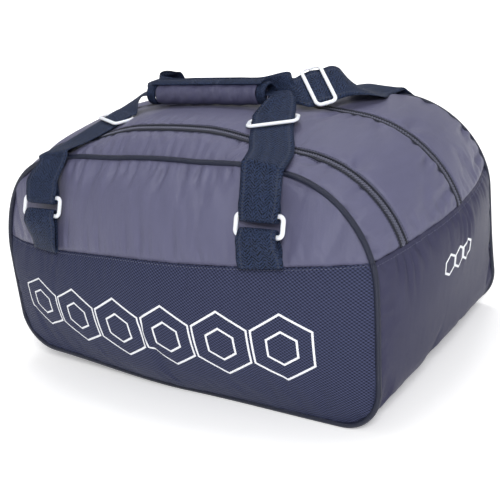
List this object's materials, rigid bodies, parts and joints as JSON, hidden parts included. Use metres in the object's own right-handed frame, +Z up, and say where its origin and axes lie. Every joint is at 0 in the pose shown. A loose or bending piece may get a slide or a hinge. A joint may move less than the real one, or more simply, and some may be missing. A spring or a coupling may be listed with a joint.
{
  "type": "racket holdall",
  "caption": "Soft loaf-shaped racket holdall with arched front and rear panels, zipped lids over each compartment, ringed carrying straps and a padded grip.",
  "frame": {"origin": "on the ground under the middle of the base", "axes": "+X runs along the case, the front panel faces -Y, +Z is up"},
  "size_m": [0.5521, 0.3882, 0.3223],
  "materials": {
    "shell_light": "plain-weave nylon with a soft sheen",
    "grip_cover": "padded plain-weave nylon",
    "shell_navy": "fine dobby weave, matt",
    "shell_dark": "smooth coated nylon",
    "base_cloth": "coated nylon",
    "piping": "piping over cord",
    "webbing": "herringbone polyester webbing",
    "white_plastic": "moulded acetal",
    "zip_chain": "coil zip on woven tape",
    "zip_metal": "dark plated zinc",
    "board": "stiff polypropylene sheet",
    "lining": "padded lining cloth"
  },
  "bodies": {
    "case": {"base_panel": "base_cloth", "base_board": "board", "left_end_panel": "shell_dark", "right_end_panel": "shell_dark", "front_lower_panel": "shell_navy", "back_lower_panel": "shell_navy", "front_piping_lower": "piping", "back_piping_lower": "piping", "middle_top_band": "shell_light", "front_zip_band_chain": "zip_chain", "back_zip_band_chain": "zip_chain", "compartment_divider": "lining"},
    "front_lid": {"front_upper_panel": "shell_light", "front_piping_upper": "piping", "front_gusset_strip": "shell_light", "front_zip_lid_chain": "zip_chain", "left_front_anchor": "webbing", "right_front_anchor": "webbing"},
    "back_lid": {"back_upper_panel": "shell_light", "back_piping_upper": "piping", "back_gusset_strip": "shell_light", "back_zip_lid_chain": "zip_chain", "left_back_anchor": "webbing", "right_back_anchor": "webbing"},
    "front_rings": {"left_front_ring": "white_plastic", "right_front_ring": "white_plastic"},
    "back_rings": {"left_back_ring": "white_plastic", "right_back_ring": "white_plastic"},
    "front_handle": {"front_strap": "webbing", "grip_sleeve": "grip_cover", "left_grip_band": "webbing", "right_grip_band": "webbing"},
    "back_handle": {"back_strap": "webbing"},
    "grip_flap": {"grip_flap": "webbing"},
    "left_front_adjuster": {"left_front_adjuster": "white_plastic"},
    "right_front_adjuster": {"right_front_adjuster": "white_plastic"},
    "left_back_adjuster": {"left_back_adjuster": "white_plastic"},
    "right_back_adjuster": {"right_back_adjuster": "white_plastic"},
    "front_zip_slider": {"front_zip_slider": "zip_metal"},
    "front_zip_pull": {"front_zip_pull": "zip_metal"},
    "back_zip_slider": {"back_zip_slider": "zip_metal"},
    "back_zip_pull": {"back_zip_pull": "zip_metal"}
  },
  "joints": [
    {"name": "front_lid_fold", "type": "hinge", "parent": "case", "child": "front_lid", "pos_m": [0, -0.18651, 0.175], "axis": [1, 0, 0], "range_deg": [0, 60]},
    {"name": "front_rings_swing", "type": "hinge", "parent": "front_lid", "child": "front_rings", "pos_m": [0, -0.16904, 0.20734], "axis": [1, 0, 0], "range_deg": [0, 55]},
    {"name": "front_handle_swing", "type": "hinge", "parent": "front_rings", "child": "front_handle", "pos_m": [0, -0.16069, 0.22551], "axis": [1, 0, 0], "range_deg": [0, 70]},
    {"name": "back_lid_fold", "type": "hinge", "parent": "case", "child": "back_lid", "pos_m": [0, 0.18651, 0.175], "axis": [-1, 0, 0], "range_deg": [0, 60]},
    {"name": "back_rings_swing", "type": "hinge", "parent": "back_lid", "child": "back_rings", "pos_m": [0, 0.16904, 0.20734], "axis": [-1, 0, 0], "range_deg": [0, 55]},
    {"name": "back_handle_swing", "type": "hinge", "parent": "back_rings", "child": "back_handle", "pos_m": [0, 0.16069, 0.22551], "axis": [-1, 0, 0], "range_deg": [0, 70]},
    {"name": "grip_flap_lift", "type": "hinge", "parent": "front_handle", "child": "grip_flap", "pos_m": [0, -0.01503, 0.31931], "axis": [-1, 0, 0], "range_deg": [0, 100]},
    {"name": "left_front_adjuster_slide", "type": "slide", "parent": "front_handle", "child": "left_front_adjuster", "axis": [0.4315, 0.8733, 0.226], "range_m": [-0.008, 0.008]},
    {"name": "right_front_adjuster_slide", "type": "slide", "parent": "front_handle", "child": "right_front_adjuster", "axis": [-0.4315, 0.8733, 0.226], "range_m": [-0.008, 0.008]},
    {"name": "left_back_adjuster_slide", "type": "slide", "parent": "back_handle", "child": "left_back_adjuster", "axis": [0.41, -0.869, 0.277], "range_m": [-0.008, 0.008]},
    {"name": "right_back_adjuster_slide", "type": "slide", "parent": "back_handle", "child": "right_back_adjuster", "axis": [-0.8319, -0.5312, 0.1604], "range_m": [-0.008, 0.008]},
    {"name": "front_slider_travel", "type": "hinge", "parent": "case", "child": "front_zip_slider", "pos_m": [-0.14547, -0.0935, 0.14893], "axis": [0, 1, 0], "range_deg": [0, 58]},
    {"name": "front_pull_swing", "type": "hinge", "parent": "front_zip_slider", "child": "front_zip_pull", "pos_m": [-0.26292, -0.0897, 0.19041], "axis": [0, 1, 0], "range_deg": [0, 170]},
    {"name": "back_slider_travel", "type": "hinge", "parent": "case", "child": "back_zip_slider", "pos_m": [-0.14723, 0.0125, 0.14748], "axis": [0, 1, 0], "range_deg": [0, 58]},
    {"name": "back_pull_swing", "type": "hinge", "parent": "back_zip_slider", "child": "back_zip_pull", "pos_m": [-0.27197, 0.0087, 0.19243], "axis": [0, 1, 0], "range_deg": [0, 170]}
  ]
}
